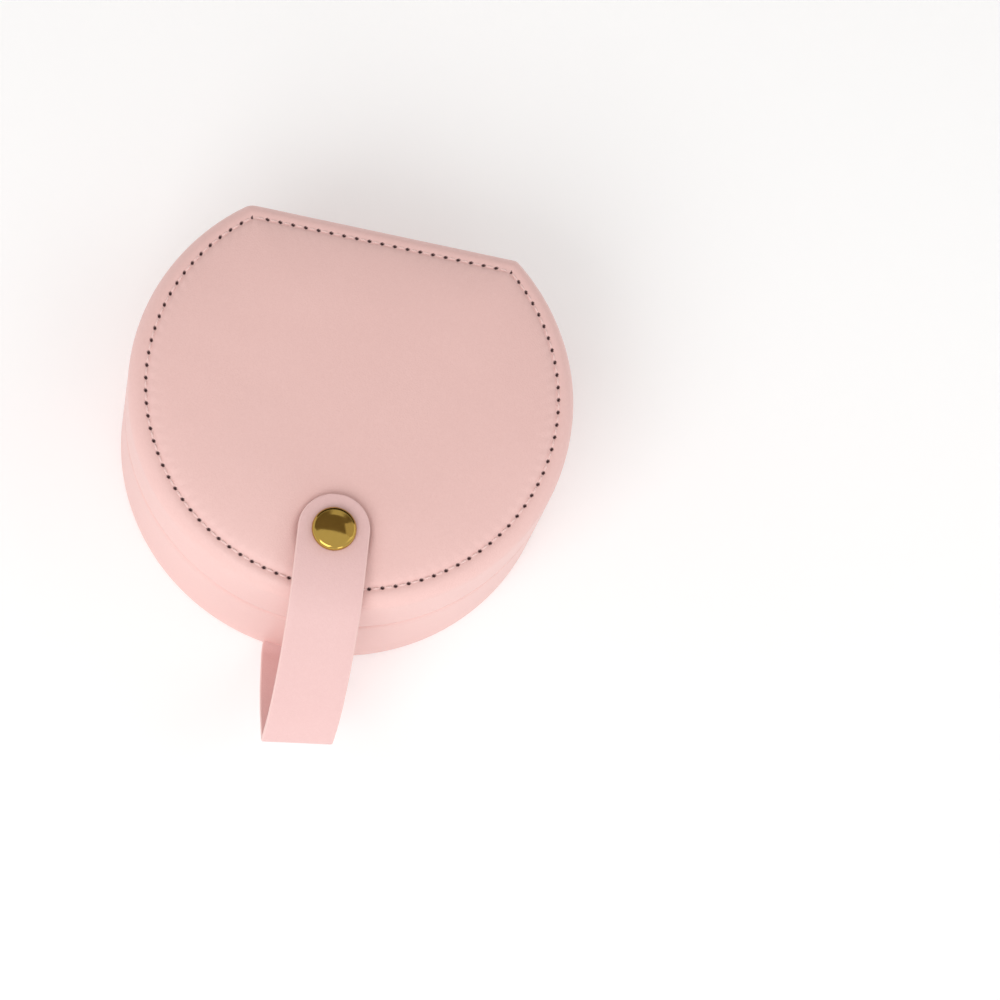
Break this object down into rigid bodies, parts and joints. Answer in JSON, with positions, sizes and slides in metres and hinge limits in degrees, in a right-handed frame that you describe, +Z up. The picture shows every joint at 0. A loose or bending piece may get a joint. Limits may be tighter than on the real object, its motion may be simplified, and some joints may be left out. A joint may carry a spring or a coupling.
{
  "type": "travel jewelry case",
  "caption": "Round leather-covered travel jewelry case with a flat hinge side, padded lid with mirror, ring rolls, and a folded snap strap",
  "frame": {"origin": "centre of the round outline on the flat underside, where the case rests", "axes": "+Z up through the lid, +Y towards the flat hinge side, strap towards -Y, +X to the right when seen from the strap side"},
  "size_m": [0.101, 0.1181, 0.0527],
  "materials": {
    "leather": "smooth pale pink coated leather, satin, very fine grain",
    "strap_leather": "smooth pale pink strap leather, satin, cut edges",
    "board": "grey-brown bookbinding board",
    "velvet": "short pink velvet",
    "foam": "soft open foam",
    "gold_metal": "polished gold-plated brass",
    "mirror": "silvered glass"
  },
  "bodies": {
    "base": {"base_bottom_cover": "leather", "base_wall_cover": "leather", "base_wall_board": "board", "base_floor_board": "board", "base_rim_binding": "leather", "base_wall_lining": "velvet", "base_floor_lining": "velvet", "divider_cross": "velvet", "divider_front": "velvet", "divider_left": "velvet", "divider_right": "velvet", "ring_roll_1": "velvet", "ring_roll_2": "velvet", "ring_roll_3": "velvet", "ring_roll_4": "velvet", "hinge_crease": "leather", "strap_tab": "strap_leather", "strap_root_crease": "strap_leather"},
    "lid": {"lid_wall_cover": "leather", "lid_wall_board": "board", "lid_wall_lining": "velvet", "lid_card": "board", "lid_top_board": "board", "lid_ceiling_lining": "velvet", "mirror": "mirror", "mirror_frame": "velvet", "lid_top_panel": "leather", "lid_foam_pad": "foam", "snap_stud": "gold_metal", "snap_stud_rivet": "gold_metal"},
    "strap_lower": {"strap_back": "strap_leather", "strap_fold_crease": "strap_leather"},
    "strap_upper": {"strap_front": "strap_leather", "strap_bend_crease": "strap_leather"},
    "strap_end": {"strap_tip": "strap_leather", "snap_cap": "gold_metal", "snap_socket": "gold_metal"}
  },
  "joints": [
    {"name": "lid_hinge", "type": "hinge", "parent": "base", "child": "lid", "pos_m": [0, 0.0393, 0.026], "axis": [-1, 0, 0], "range_deg": [0, 104]},
    {"name": "strap_swing", "type": "hinge", "parent": "base", "child": "strap_lower", "pos_m": [0.0015, -0.052, 0.0017], "axis": [1, 0, 0], "range_deg": [0, 33], "stiffness_Nm_per_rad": 0.03},
    {"name": "strap_unfold", "type": "hinge", "parent": "strap_lower", "child": "strap_upper", "pos_m": [0.0015, -0.0776, 0.021], "axis": [1, 0, 0], "range_deg": [0, 99], "stiffness_Nm_per_rad": 0.02},
    {"name": "snap_peel", "type": "hinge", "parent": "strap_upper", "child": "strap_end", "pos_m": [0.0015, -0.0512, 0.0462], "axis": [1, 0, 0], "range_deg": [0, 36], "stiffness_Nm_per_rad": 0.01}
  ]
}
